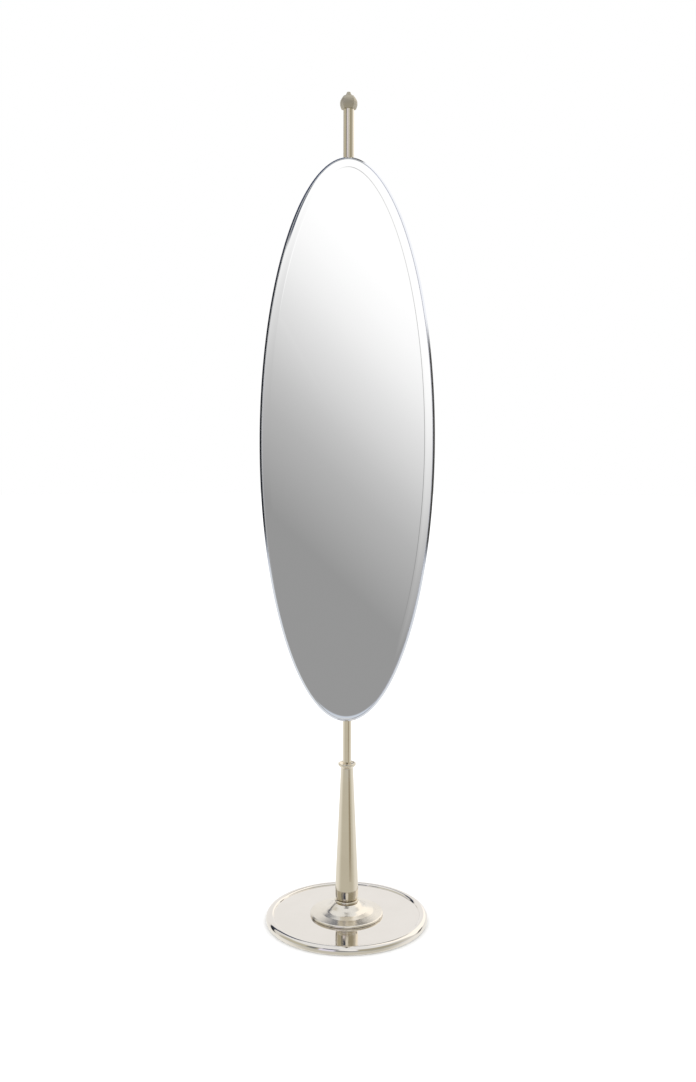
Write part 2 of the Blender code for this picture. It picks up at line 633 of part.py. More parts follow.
def build_clips(mirror_axis, backing, steel, board_back):
    """Angle clips round the edge that hold the board and the glass in the rim."""
    seat = board_back + GAP
    inner_inset = RIM_WALL + GAP
    for number in range(CLIP_COUNT):
        angle = 2.0 * math.pi * (number + 0.5) / CLIP_COUNT
        edge_x = (MIRROR_WIDTH / 2.0 - inner_inset) * math.cos(angle)
        edge_z = (MIRROR_HEIGHT / 2.0 - inner_inset) * math.sin(angle)
        normal_x = math.cos(angle) / MIRROR_WIDTH
        normal_z = math.sin(angle) / MIRROR_HEIGHT
        outward = math.atan2(normal_z, normal_x)
        inset = 0.0006
        clip_place = (
            edge_x - inset * math.cos(outward), 0.0, edge_z - inset * math.sin(outward),
        )
        name = "clip_%d" % (number + 1)
        tongue_mesh = box_mesh(
            name, (-CLIP_TONGUE, seat, -CLIP_HALF_WIDTH), (0.0, seat + CLIP_THICKNESS, CLIP_HALF_WIDTH),
        )
        clip = add_piece(
            name, tongue_mesh, steel, mirror_axis, location=clip_place,
            rotation=(0.0, -outward, 0.0),
        )
        wall = box_mesh(
            name + "_wall", (-CLIP_THICKNESS, seat, -CLIP_HALF_WIDTH),
            (0.0, RIM_BACK - 0.0008, CLIP_HALF_WIDTH),
        )
        add_boolean(clip, wall, "UNION")
        hole = cylinder_mesh(
            name + "_hole", SCREW_HOLE_RADIUS, (-CLIP_SCREW_INSET, seat - 0.01, 0.0),
            (-CLIP_SCREW_INSET, seat + 0.01, 0.0), 8,
        )
        add_boolean(clip, hole, "DIFFERENCE")
        screw_x = clip_place[0] - CLIP_SCREW_INSET * math.cos(outward)
        screw_z = clip_place[2] - CLIP_SCREW_INSET * math.sin(outward)
        label = "clip_screw_%d" % (number + 1)
        tip = board_back - SCREW_DEPTH
        wood_screw(label, tip, seat + CLIP_THICKNESS + GAP, steel, mirror_axis, screw_x, screw_z)
        cut_screw_hole(
            backing, label + "_pilot", board_back - PILOT_DEPTH, board_back + 0.01, screw_x, screw_z,
        )


def build():
    """Make every piece of the floor mirror."""
    clear_scene()
    nickel = make_material("nickel", (0.72, 0.68, 0.60), 0.12, 1.0)
    rim_steel = make_material("rim_steel", (0.62, 0.64, 0.68), 0.10, 1.0)
    steel = make_material("steel", (0.55, 0.55, 0.54), 0.30, 1.0)
    silver = make_material("mirror_silver", (0.90, 0.91, 0.91), 0.02, 1.0)
    iron = make_material("cast_iron", (0.12, 0.12, 0.12), 0.70, 1.0)
    felt = make_material("felt", (0.05, 0.05, 0.06), 0.95, 0.0)
    brass = make_material("brass", (0.70, 0.52, 0.25), 0.30, 1.0)
    nylon = make_material("nylon", (0.80, 0.79, 0.74), 0.50, 0.0)
    fibre = make_material("fibre", (0.30, 0.12, 0.08), 0.80, 0.0)
    board_finish = make_material("backing", (0.10, 0.09, 0.08), 0.80, 0.0)

    build_base(nickel, iron, felt, steel)
    build_column(nickel, steel)
    build_pole(nickel, nylon)

    stop_axis = make_empty("height_axis", (0.0, 0.0, STOP_TOP))
    stop_knob_axis = make_empty("stop_knob_axis", (0.0, 0.0, -STOP_HEIGHT / 2.0), stop_axis)
    tube_axis = make_empty("swivel_axis", (0.0, 0.0, TUBE_BOTTOM - STOP_TOP), stop_axis)
    mirror_axis = make_empty(
        "tilt_axis", (0.0, -PIVOT_FORWARD, PIVOT_HEIGHT - TUBE_BOTTOM), tube_axis,
        rotation=(REST_TILT, 0.0, 0.0),
    )
    tilt_knob_axis = make_empty("tilt_knob_axis", (0.0, 0.0, 0.0), mirror_axis)
    bpy.context.view_layer.update()

    build_stop(stop_axis, stop_knob_axis, nickel, steel, brass)
    build_post(tube_axis, nickel, steel, nylon)
    board_back, plate_back = build_hinge(mirror_axis, tilt_knob_axis, nickel, steel, fibre)
    build_mirror(
        mirror_axis, rim_steel, silver, board_finish, steel, board_back, plate_back,
    )


build()
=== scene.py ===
# %% [markdown]
# # Cheval floor mirror: the finish
#
# The mirror is a tall ellipse of bevelled glass in front of one nickel pole. The solids of the
# design are loaded as a fixed frame. This script makes every visible surface again as a fine
# mesh in the same place, gives each metal, glass and cloth its finish, and sets up the studio.
#
# A polished thing is mostly what it reflects, so the work is in three places: smooth surfaces
# with honest rounded edges, metal whose gloss changes a little from spot to spot, and a room
# around the mirror that puts calm bands of light and shade on it.

# %% Load the frame
import json
import math

import bmesh
import bpy
import numpy as np
from mathutils import Matrix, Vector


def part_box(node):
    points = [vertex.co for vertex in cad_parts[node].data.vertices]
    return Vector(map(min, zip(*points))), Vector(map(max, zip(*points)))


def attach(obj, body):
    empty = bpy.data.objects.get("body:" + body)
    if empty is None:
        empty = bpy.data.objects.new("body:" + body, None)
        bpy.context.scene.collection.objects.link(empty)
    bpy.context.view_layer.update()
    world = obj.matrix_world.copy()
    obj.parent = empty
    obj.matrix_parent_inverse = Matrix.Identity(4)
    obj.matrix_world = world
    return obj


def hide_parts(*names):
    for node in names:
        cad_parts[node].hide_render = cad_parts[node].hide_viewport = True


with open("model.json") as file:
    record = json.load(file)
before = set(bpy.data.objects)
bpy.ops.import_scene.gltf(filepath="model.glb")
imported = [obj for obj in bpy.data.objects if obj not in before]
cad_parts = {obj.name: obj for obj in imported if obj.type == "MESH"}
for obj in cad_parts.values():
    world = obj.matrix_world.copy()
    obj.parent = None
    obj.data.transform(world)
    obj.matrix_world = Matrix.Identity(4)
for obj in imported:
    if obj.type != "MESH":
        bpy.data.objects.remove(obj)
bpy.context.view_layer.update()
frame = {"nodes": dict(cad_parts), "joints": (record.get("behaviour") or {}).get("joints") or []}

# %% [markdown]
# ## Places, read from the frame
#
# A stand like this is turned round one vertical line, so most sizes are a radius and two
# heights. They come from the box of each solid. The mirror hangs on a tilt bolt and leans back
# a little, so its pieces are worked out upright and then leaned about the bolt. The lean itself
# is measured on the glass: its longest direction is the long axis of the ellipse.

# %% Measure the frame
MM = 0.001


def cad_points(node):
    """The corner points of a CAD solid as an (n, 3) array."""
    mesh = frame["nodes"][node].data
    flat = np.zeros(len(mesh.vertices) * 3)
    mesh.vertices.foreach_get("co", flat)
    return flat.reshape(-1, 3)


def span(node):
    """Radius, lowest and highest point of a solid that is turned about Z."""
    low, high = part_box(node)
    return high.x, low.z, high.z


def joint_place(name):
    """Where a joint's axis passes, in the frame."""
    return np.array(next(j["pos_m"] for j in frame["joints"] if j["name"] == name))


PIVOT = joint_place("mirror_tilt")
KNOB_PLACE = joint_place("stop_knob_turn")
glass_points = cad_points("mirror_glass")
spread = np.linalg.svd(glass_points - glass_points.mean(0), full_matrices=False)[2][0]
LEAN = math.atan2(-spread[1] * np.sign(spread[2]), abs(spread[2]))
print("the mirror leans by", round(math.degrees(LEAN), 2), "degrees about", PIVOT)


def lean_back(points):
    """Turn points of the upright mirror by the lean about X, then carry them to the bolt."""
    x, y, z = np.moveaxis(np.asarray(points, float), -1, 0)
    c, s = math.cos(LEAN), math.sin(LEAN)
    return np.stack([x, y * c - z * s, y * s + z * c], -1) + PIVOT


def upright(node):
    """Lowest and highest corner of a mirror solid in the upright mirror's own axes."""
    x, y, z = (cad_points(node) - PIVOT).T
    c, s = math.cos(LEAN), math.sin(LEAN)
    local = np.stack([x, y * c + z * s, -y * s + z * c], -1)
    return local.min(0), local.max(0)


RIM_LOW, RIM_HIGH = upright("mirror_rim")
GLASS_LOW, GLASS_HIGH = upright("mirror_glass")
BOARD_LOW, BOARD_HIGH = upright("backing_board")
HALF_WIDTH = RIM_HIGH[0]
HALF_HEIGHT = RIM_HIGH[2]
print("mirror", round(2 * HALF_WIDTH, 4), "by", round(2 * HALF_HEIGHT, 4), "m")

# %% [markdown]
# ## Grids of points become meshes
#
# Every surface here is a function of two parameters, worked out on a whole grid at once. The
# grid wraps where the surface closes on itself. A turned piece is an outline carried round Z,
# and its outline is a list of corners, each with the radius of the tool that broke the corner.
# Those small rounded edges are what catches the light on real metal.

# %% Grid, outline and lathe
def add_mesh(name, points, wrap_u, wrap_v, body, replaces=(), sharp=40.0):
    """Make a mesh from an (n, m, 3) grid of points, joined along both directions.

    wrap_u joins the last row to the first, and wrap_v the last column to the first. Rows that
    shrink to a point, such as poles, are merged, and the faces are turned outwards.
    """
    rows, columns = points.shape[:2]
    u = np.arange(rows if wrap_u else rows - 1)
    v = np.arange(columns if wrap_v else columns - 1)
    u0, v0 = np.meshgrid(u, v, indexing="ij")
    u1, v1 = (u0 + 1) % rows, (v0 + 1) % columns
    faces = np.stack([u0 * columns + v0, u0 * columns + v1, u1 * columns + v1, u1 * columns + v0], -1)
    mesh = bpy.data.meshes.new(name)
    mesh.from_pydata(points.reshape(-1, 3).tolist(), [], faces.reshape(-1, 4).tolist())
    return finish_mesh(name, mesh, body, replaces, sharp)


def finish_mesh(name, mesh, body, replaces=(), sharp=40.0):
    """Weld a mesh, point its faces outwards, shade it smooth and let it ride on a body."""
    bm = bmesh.new()
    bm.from_mesh(mesh)
    bmesh.ops.remove_doubles(bm, verts=bm.verts, dist=1e-6)
    bmesh.ops.recalc_face_normals(bm, faces=bm.faces)
    bm.to_mesh(mesh)
    bm.free()
    mesh.shade_smooth()
    mesh.set_sharp_from_angle(angle=math.radians(sharp))
    piece = bpy.data.objects.new(name, mesh)
    bpy.context.scene.collection.objects.link(piece)
    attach(piece, body)
    if replaces:
        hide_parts(*replaces)
    print("%-20s %6d faces on %s" % (name, len(mesh.polygons), body))
    return piece


def rounded(corners, steps=5, closed=True):
    """An outline whose corners are arcs. Each corner is (radius, height, rounding).

    The arc touches both edges at rounding / tan(half the corner's angle) from the corner. Its
    points come from a circle about the point where the two inner bisectors meet. A corner on
    the axis, or with no rounding, stays a point.
    """
    count = len(corners)
    outline = []
    for i, (r, z, rounding) in enumerate(corners):
        here = np.array([r, z])
        if rounding <= 0.0 or (not closed and i in (0, count - 1)):
            outline.append(here[None])
            continue
        to_last = np.array(corners[i - 1][:2]) - here
        to_next = np.array(corners[(i + 1) % count][:2]) - here
        length_last, length_next = np.linalg.norm(to_last), np.linalg.norm(to_next)
        a, b = to_last / length_last, to_next / length_next
        half = 0.5 * math.acos(float(np.clip(a @ b, -1.0, 1.0)))
        if half > math.radians(88.0):
            outline.append(here[None])
            continue
        reach = min(rounding / math.tan(half), 0.48 * length_last, 0.48 * length_next)
        size = reach * math.tan(half)
        middle = here + (a + b) / np.linalg.norm(a + b) * size / math.sin(half)
        start = here + a * reach - middle
        turn = math.pi - 2.0 * half
        sense = math.copysign(1.0, a[0] * b[1] - a[1] * b[0])
        angles = -sense * np.linspace(0.0, turn, steps + 1)
        c, s = np.cos(angles), np.sin(angles)
        arc = np.stack([start[0] * c - start[1] * s, start[0] * s + start[1] * c], -1)
        outline.append(middle + arc)
    return guarded(np.concatenate(outline), closed)


def guarded(outline, closed):
    """Add a point just inside each end of every long straight run of an outline.

    Smooth shading averages the normals where a run meets an arc. With the extra points the
    average fades out within 0.4 mm, so the run itself reflects as a true flat or cone.
    """
    ends = np.roll(outline, -1, 0)
    run = ends - outline
    length = np.maximum(np.linalg.norm(run, axis=1), 1e-9)[:, None]
    inside = run / length * np.minimum(0.4 * MM, 0.2 * length)
    points = np.stack([outline, outline + inside, ends - inside], 1)
    keep = np.stack([length > 0.0, length > 1.5 * MM, length > 1.5 * MM], 1)[..., 0]
    if not closed:
        keep[-1, 1:] = False
    return points[keep]


def lathe_grid(outline, steps, along="z", flute=None):
    """Carry an outline of (radius, height) round an axis: radius * (cos a, sin a), height.

    flute is a function of the angle that multiplies the radius. along names the axis.
    """
    angle = np.linspace(0.0, 2.0 * math.pi, steps, endpoint=False)
    radius, height = outline[:, 0][:, None], outline[:, 1][:, None]
    swell = 1.0 if flute is None else flute(angle, outline)
    a = radius * np.cos(angle) * swell
    b = radius * np.sin(angle) * swell
    h = np.broadcast_to(height, a.shape)
    return np.stack({"z": [a, b, h], "x": [h, a, b], "y": [b, h, a]}[along], -1)


def turned(name, corners, body, replaces, steps=160, place=(0.0, 0.0, 0.0), along="z",
           flute=None, arc_steps=5, closed=True, sharp=40.0):
    """A lathe-turned piece: a rounded outline carried round an axis through place."""
    outline = rounded(corners, arc_steps, closed)
    grid = lathe_grid(outline, steps, along, flute) + np.asarray(place, float)
    return add_mesh(name, grid, closed, True, body, replaces, sharp)


# %% [markdown]
# ## Shader maths that reads like maths
#
# A finish is a formula on the surface: a little noise, a threshold, a blend. Wiring Math nodes
# by hand hides the formula, so a small class wraps a socket and lets `1 - mask * 0.3` add the
# nodes. Any other node comes from one method that takes its type, settings and sockets.

# %% Expressions for sockets
class Value:
    """A node socket that can be used in an expression."""

    def __init__(self, shader, socket):
        self.shader = shader
        self.socket = socket

    def math(self, operation, *others):
        node = self.shader.tree.nodes.new("ShaderNodeMath")
        node.operation = operation
        for index, item in enumerate((self, *others)):
            self.shader.feed(node.inputs[index], item)
        return Value(self.shader, node.outputs[0])

    def __add__(self, other):
        return self.math("ADD", other)

    def __mul__(self, other):
        return self.math("MULTIPLY", other)

    def __sub__(self, other):
        return self.math("SUBTRACT", other)

    def __rsub__(self, other):
        return self.math("MULTIPLY", -1.0).math("ADD", other)

    def __truediv__(self, other):
        return self.math("DIVIDE", other)

    __radd__ = __add__
    __rmul__ = __mul__


# %% Short ways to add nodes
class Shader:
    """A material's node tree, with short ways to add to it."""

    def __init__(self, name, owner=None):
        self.owner = owner or bpy.data.materials.new(name)
        self.owner.use_nodes = True
        self.tree = self.owner.node_tree
        self.main = self.tree.nodes.get("Principled BSDF")

    def feed(self, socket, item):
        """Link a value to a socket, or set the socket's own number or colour."""
        if isinstance(item, Value):
            self.tree.links.new(item.socket, socket)
        elif isinstance(item, (tuple, list)) and len(socket.default_value) == 4:
            socket.default_value = (*item[:3], 1.0)
        else:
            socket.default_value = item

    def node(self, kind, output=0, settings=None, **sockets):
        """Add a node: its settings first, then the values or links of its named sockets."""
        node = self.tree.nodes.new("ShaderNode" + kind)
        for key, setting in (settings or {}).items():
            setattr(node, key, setting)
        for key, item in sockets.items():
            self.feed(node.inputs[key.replace("_", " ")], item)
        return Value(self, node.outputs[output])

    def ramp(self, factor, *stops):
        """A colour ramp. Each stop is (position, grey or colour)."""
        result = self.node("ValToRGB", Fac=factor)
        ramp = result.socket.node.color_ramp
        while len(ramp.elements) < len(stops):
            ramp.elements.new(1.0)
        for element, (position, color) in zip(ramp.elements, stops):
            element.position = position
            grey = isinstance(color, (int, float))
            element.color = (color, color, color, 1.0) if grey else (*color, 1.0)
        return result

    def mix(self, factor, first, second):
        """Blend two colours."""
        node = self.tree.nodes.new("ShaderNodeMix")
        node.data_type = "RGBA"
        self.feed(node.inputs["Factor"], factor)
        self.feed(node.inputs[6], first)
        self.feed(node.inputs[7], second)
        return Value(self, node.outputs[2])

    def place(self, scale=(1.0, 1.0, 1.0)):
        """Object coordinates, stretched by scale."""
        coordinates = self.node("TexCoord", output=3)
        return self.node("Mapping", Vector=coordinates, Scale=scale)

    def noise(self, scale, detail=4.0, roughness=0.55, stretch=(1.0, 1.0, 1.0)):
        """Fractal noise from 0 to 1, read at object coordinates."""
        return self.node(
            "TexNoise", Vector=self.place(stretch), Scale=scale, Detail=detail, Roughness=roughness,
        )

    def bump(self, height, strength, distance):
        """Feed a height to the surface's normal."""
        bump = self.node("Bump", Height=height, Strength=strength, Distance=distance)
        self.feed(self.main.inputs["Normal"], bump)

    def set(self, **sockets):
        """Set or link the Principled shader's own sockets."""
        for key, item in sockets.items():
            self.feed(self.main.inputs[key.replace("_", " ")], item)
        return self.owner


# %% Steps between values, and coats
def smooth_step(value, low, high):
    """0 below low, 1 above high, smooth between."""
    return value.shader.node(
        "MapRange", settings={"interpolation_type": "SMOOTHSTEP"}, Value=value,
        From_Min=low, From_Max=high, To_Min=0.0, To_Max=1.0,
    )


def coat(piece, material):
    """Give a piece one material."""
    piece.data.materials.clear()
    piece.data.materials.append(material)
    return piece


print("operators on a socket:", [name for name in vars(Value) if name.startswith("__r")])


# %% [markdown]
# ## Polished nickel
#
# Nickel plate is buffed on a wheel while the piece turns, so it is close to a mirror and a
# little warm. It is never even: buffing leaves rings finer than a hair, hands leave a faint
# haze, and cloths leave thin straight scratches. A single roughness would look like plastic
# foil, so the roughness is a sum of a base, a soft haze and two crossing sets of hair lines,
# and a very small bump follows the buffing rings.

# %% Nickel
def hair_lines(shader, scale, stretch, amount):
    """Thin scratches: noise stretched along one direction, of which only the crests are kept."""
    crests = shader.noise(scale, 2.0, 0.6, stretch)
    return smooth_step(crests, 0.60, 0.72) * amount


def polished_metal(name, color, shade, base_roughness, haze=0.05, rings=0.35, scratch=0.05):
    """A buffed metal: colour from shade to color, hazed and scratched, with buffing rings."""
    shader = Shader(name)
    cloud = shader.noise(9.0, 5.0, 0.6)
    fine = shader.noise(140.0, 3.0, 0.6)
    tone = smooth_step(cloud, 0.30, 0.72) * 0.75 + fine * 0.25
    haze_mask = smooth_step(shader.noise(22.0, 6.0, 0.65), 0.48, 0.74)
    lines = hair_lines(shader, 60.0, (1.0, 1.0, 14.0), scratch)
    more_lines = hair_lines(shader, 85.0, (12.0, 1.0, 1.5), scratch * 0.7)
    roughness = haze_mask * haze + lines + more_lines + fine * 0.012 + base_roughness
    height = shader.node(
        "TexWave", settings={"wave_type": "BANDS", "bands_direction": "Z"},
        Vector=shader.place(), Scale=900.0, Distortion=1.4, Detail=2.0, Detail_Scale=3.0,
    )
    shader.bump(height * 0.5 + cloud * 0.5, rings, 0.00002)
    return shader.set(
        Base_Color=shader.mix(tone, shade, color), Roughness=roughness, Metallic=1.0,
    )


nickel = polished_metal("polished_nickel", (0.735, 0.685, 0.590), (0.690, 0.640, 0.545), 0.055)
# Painted light: the base dish gets the same polished nickel with a lighter colour than the column's,
# so it looks paler.
nickel_plate_painted_light = polished_metal(
    "polished_nickel_plate", (0.800, 0.768, 0.725), (0.770, 0.738, 0.690), 0.045, rings=0.15,
)
# Painted shade: the finial's nickel has a darker colour than the polished nickel. Only its higher
# roughness is the real satin finish.
satin_nickel = polished_metal(
    "satin_nickel", (0.500, 0.462, 0.378), (0.440, 0.405, 0.325), 0.42, haze=0.08, scratch=0.04,
)
# Painted light: the boss's nickel has a lighter colour than the polished nickel. Its higher roughness
# and haze are the real cast finish.
cast_nickel_painted_light = polished_metal(
    "cast_nickel_plate", (0.800, 0.758, 0.685), (0.755, 0.712, 0.635), 0.19, haze=0.09, rings=0.2,
)
print("made", nickel.name, "and", nickel_plate_painted_light.name, "and", cast_nickel_painted_light.name)

# %% [markdown]
# ## The weighted base
#
# The base is a spun nickel dish with a rolled edge over an iron disc. A spun edge has no corner
# anywhere: the plate turns up into a bead, over it and back under itself in one curve. The
# outline is drawn in millimetres and fitted to the box of its solid, and large roundings run
# the curve smoothly through its corners.

# %% Base shell
def drawn(node, corners, reach=1.0):
    """Fit corners drawn in millimetres to a solid's box.

    Each corner is (radius, rise above the lowest point, rounding). The largest radius becomes
    the box's radius, and the largest rise its top. reach is the share of the radius that the
    box shows, which is less than 1 for a shape with flat sides.
    """
    radius, bottom, top = span(node)
    widest = max(corner[0] for corner in corners) * reach
    tallest = max(corner[1] for corner in corners)
    print("%-20s radius %.1f mm, z %.1f to %.1f mm" % (node, radius / MM, bottom / MM, top / MM))
    return [(r * radius / widest, bottom + h * (top - bottom) / tallest, c * MM)
            for r, h, c in corners]


shell_outline = drawn("base_shell", [
    (5.3, 12.1, 0.3), (5.3, 14.8, 0.3), (189.6, 14.8, 1.0), (190.8, 17.3, 2.5), (194.6, 19.3, 9.0),
    (200.0, 19.7, 12.0), (206.2, 17.9, 9.0), (210.0, 13.7, 9.0), (211.0, 8.6, 9.0), (210.3, 3.1, 5.0),
    (208.4, 0.0, 1.2), (205.2, 0.0, 1.0), (204.8, 9.4, 1.0), (202.0, 12.1, 1.0),
])
base_shell = turned(
    "base_dish", shell_outline, "stand", ["base_shell"], steps=288, arc_steps=6,
)
coat(base_shell, nickel_plate_painted_light)

# %% [markdown]
# ## Boss, foot ring and column
#
# The boss is a cast bell with a rolled lip that stands on the plate. A bead ring parts it from
# the column, which swells a little above its foot and then tapers to the neck. All three are
# turned, so they are lathe outlines too. A wide lip on the boss catches one bright ring, and the
# tight bead catches a thin one.

# %% Boss, ring, column and collar
boss_outline = drawn("boss_flange", [
    (5.3, 31.2, 0.0), (5.3, 35.2, 0.3), (27.5, 35.2, 1.0), (32.2, 33.1, 4.0), (38.0, 28.2, 8.0),
    (45.0, 20.9, 12.0), (54.5, 15.1, 16.0), (70.0, 10.5, 24.0), (92.3, 6.5, 1.6), (94.4, 5.3, 1.6),
    (95.0, 3.5, 1.6), (94.6, 1.4, 1.4), (93.2, 0.0, 0.6), (89.5, 0.0, 0.5), (87.0, 3.3, 1.0),
    (56.0, 9.5, 8.0), (39.0, 17.5, 8.0), (27.5, 30.5, 3.0),
])
boss = turned("boss_bell", boss_outline, "stand", ["boss_flange"], 224, arc_steps=7)

ring_outline = drawn("foot_ring", [
    (12.0, 0.0, 0.3), (31.75, 0.0, 2.84), (31.75, 5.7, 2.84), (12.0, 5.7, 0.3),
])
foot_ring = turned("foot_bead", ring_outline, "stand", ["foot_ring"], 160, arc_steps=9)

column_outline = drawn("column", [
    (12.0, 0.0, 0.2), (24.6, 0.0, 0.5), (27.5, 2.0, 3.0), (29.2, 6.4, 8.0), (29.9, 13.5, 24.0),
    (30.0, 28.0, 80.0), (29.0, 55.0, 200.0), (15.6, 349.7, 0.4), (13.6, 349.7, 0.3),
    (28.0, 28.2, 20.0), (24.0, 6.2, 2.0), (12.0, 4.2, 0.4),
])
column = turned("tapered_column", column_outline, "stand", ["column"], 192, arc_steps=8)

collar_outline = drawn("column_collar", [
    (15.1, 1.6, 0.0), (15.1, 0.0, 0.0), (16.0, 0.0, 0.3), (16.8, 1.6, 0.6), (19.2, 4.0, 6.0),
    (21.9, 7.0, 6.0), (23.0, 10.2, 3.0), (22.9, 12.3, 1.2), (21.8, 13.2, 0.9), (20.4, 12.7, 1.2),
    (18.8, 10.7, 5.0), (15.8, 8.2, 6.0), (12.6, 6.9, 2.0), (11.5, 6.2, 0.3), (11.5, 1.6, 0.2),
])
collar = turned("dished_collar", collar_outline, "stand", ["column_collar"], 160)

# %% [markdown]
# ## The pole in two sizes
#
# A slim pole stands in the collar, and a wider tube slides over its upper half and carries the
# mirror. A stop collar clamped on the pole holds the tube up, with a brass washer and a nylon
# bush between them, so that the tube turns easily. Drawn tube has a crisp end with only a hair
# of rounding, so its outline is four corners.

# %% Poles, stop collar and washers
def tube(name, node, bore, rounding, body, steps=128, place=(0.0, 0.0, 0.0)):
    """A straight tube on the node's radius and height, with a bore and rounded edges, in mm."""
    radius, bottom, top = span(node)
    inner, edge = bore * MM, rounding * MM
    corners = [
        (inner, bottom, edge), (radius, bottom, edge), (radius, top, edge), (inner, top, edge),
    ]
    return turned(name, corners, body, [node], steps, place)


lower_pole = tube("slim_pole", "lower_pole", 9.2, 0.4, "stand")
upper_tube = tube("mirror_tube", "upper_tube", 12.1, 0.35, "post")
stop_collar = tube("stop_ring", "stop_collar", 11.2, 2.2, "height_stop")
thrust_washer = tube("brass_washer", "thrust_washer", 11.3, 0.4, "height_stop")

bush_outline = drawn("tube_bush", [
    (11.2, 0.0, 0.4), (13.3, 0.0, 0.8), (13.3, 3.3, 0.4), (11.9, 3.3, 0.0), (11.9, 43.5, 0.3),
    (11.2, 43.5, 0.0),
])
tube_bush = turned("nylon_bush", bush_outline, "post", ["tube_bush"], 96)

# %% [markdown]
# ## The finial
#
# A five-sided bud closes the tube. It is cast, then ground and buffed, so its sides are flat in
# the middle and soft at the corners. One formula gives that: the distance to the side of a
# pentagon along each direction, blended with a circle. The blend is strongest at the widest
# level, and fades towards the tip, where the buffing wheel has rounded everything.

# %% Finial
def five_sides(angle, outline):
    """How far the bud reaches in each direction, as a share of its corner radius.

    A pentagon's side is at cos(36 deg) / cos(angle from the middle of the side). A power mean
    with the circle softens the corners.
    """
    fifth = 2.0 * math.pi / 5.0
    from_middle = np.mod(angle + 0.5 * math.pi + 0.5 * fifth, fifth) - 0.5 * fifth
    side = math.cos(0.5 * fifth) / np.cos(from_middle)
    soft = (side ** -14 + 1.012 ** 14 - 1.0) ** (-1.0 / 14)
    radius, height = outline[:, 0][:, None], outline[:, 1][:, None]
    bottom, top = height.min(), height.max()
    level = (height - bottom) / (top - bottom)
    flat = np.clip(1.25 - level, 0.0, 1.0) * np.clip((radius - 0.013) / 0.003, 0.0, 1.0)
    return 1.0 + (soft - 1.0) * flat


finial_outline = drawn("finial", [
    (0.0, 2.5, 0.0), (13.7, 2.5, 0.2), (15.8, 0.0, 0.3), (18.6, 0.0, 0.8), (20.6, 4.6, 8.0),
    (22.6, 10.6, 10.0), (23.0, 17.4, 6.0), (21.8, 22.4, 5.0), (17.6, 28.0, 7.0), (12.6, 31.6, 5.0),
    (7.4, 33.6, 5.0), (5.6, 37.0, 6.0), (4.4, 40.4, 2.5), (0.0, 42.2, 0.0),
], reach=0.93)
finial = turned(
    "bud_finial", finial_outline, "post", ["finial"], 240, flute=five_sides,
    arc_steps=6, closed=False,
)

# %% [markdown]
# ## Bracket: sleeve, arm and knuckle
#
# Behind the glass a sleeve is clamped round the tube. A short arm runs forward from it to a
# cross-wise knuckle, which is bored for the tilt bolt. The three parts are brazed. The arm is a
# turned bar that flares where it meets the sleeve. Inside the knuckle it stops short of the bore,
# so nothing crosses the bolt, and the three closed surfaces are kept in one mesh.

# %% Bracket
def one_piece(name, grids, body, replaces, sharp=40.0):
    """Several grids, each closed both ways, in one mesh."""
    points, faces, start = [], [], 0
    for grid in grids:
        rows, columns = grid.shape[:2]
        u0, v0 = np.meshgrid(np.arange(rows), np.arange(columns), indexing="ij")
        u1, v1 = (u0 + 1) % rows, (v0 + 1) % columns
        corners = [u0 * columns + v0, u0 * columns + v1, u1 * columns + v1, u1 * columns + v0]
        faces.append(np.stack(corners, -1).reshape(-1, 4) + start)
        points.append(grid.reshape(-1, 3))
        start += rows * columns
    mesh = bpy.data.meshes.new(name)
    mesh.from_pydata(np.concatenate(points).tolist(), [], np.concatenate(faces).tolist())
    return finish_mesh(name, mesh, body, replaces, sharp)


def ring_grid(inner, outer, low, high, rounding, steps, along, place):
    """A thick ring about an axis, with rounded edges. All lengths in mm but the place."""
    corners = [
        (inner, low, 0.3), (outer, low, rounding), (outer, high, rounding), (inner, high, 0.3),
    ]
    outline = rounded([(r * MM, h * MM, c * MM) for r, h, c in corners], 6)
    return lathe_grid(outline, steps, along) + np.asarray(place)


sleeve_radius, sleeve_low, sleeve_high = span("bracket_arm")
sleeve_radius /= MM
half_sleeve = 0.5 * (sleeve_high - sleeve_low) / MM
arm_reach = -PIVOT[1] / MM
arm_drawing = [
    (0.0, 5.2 - arm_reach, 0.0), (9.2, 5.2 - arm_reach, 0.0), (9.6, 12.0 - arm_reach, 0.0),
    (8.5, 17.0 - arm_reach, 4.0), (8.5, -24.0, 4.5), (13.2, -17.2, 0.0), (13.2, -14.5, 0.0),
    (0.0, -14.5, 0.0),
]
arm_outline = rounded([(r * MM, h * MM, c * MM) for r, h, c in arm_drawing], 8)
bracket = one_piece("mirror_bracket", [
    ring_grid(13.4, sleeve_radius, -half_sleeve, half_sleeve, 3.0, 128, "z", (0.0, 0.0, PIVOT[2])),
    lathe_grid(arm_outline, 96, "y") + np.array([0.0, 0.0, PIVOT[2]]),
    ring_grid(4.3, 13.0, -10.0, 10.0, 1.6, 96, "x", PIVOT),
], "post", ["bracket_arm"])

# %% [markdown]
# ## Knobs and bolts
#
# Two small knobs are turned by hand: one clamps the stop collar, and one tightens the tilt bolt.
# Their ten flutes are a cosine on the radius, which fades out on the dished face so that it
# stays round. The bolt's head is a plain dome.

# %% Knobs and bolt
def ten_flutes(angle, outline):
    """A radius that swings by 5 % ten times a turn, where the outline is near its widest."""
    radius = outline[:, 0][:, None]
    near_edge = np.clip(radius / radius.max() * 4.0 - 2.6, 0.0, 1.0)
    return 1.0 - 0.05 * near_edge * (0.5 - 0.5 * np.cos(10.0 * angle)[None, :])


def along_axis(node, axis, corners):
    """Corners drawn as (radius, distance from the near end, rounding) in mm, on a node's box."""
    low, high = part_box(node)
    start = low[axis]
    return [(r * MM, start + h * MM, c * MM) for r, h, c in corners]


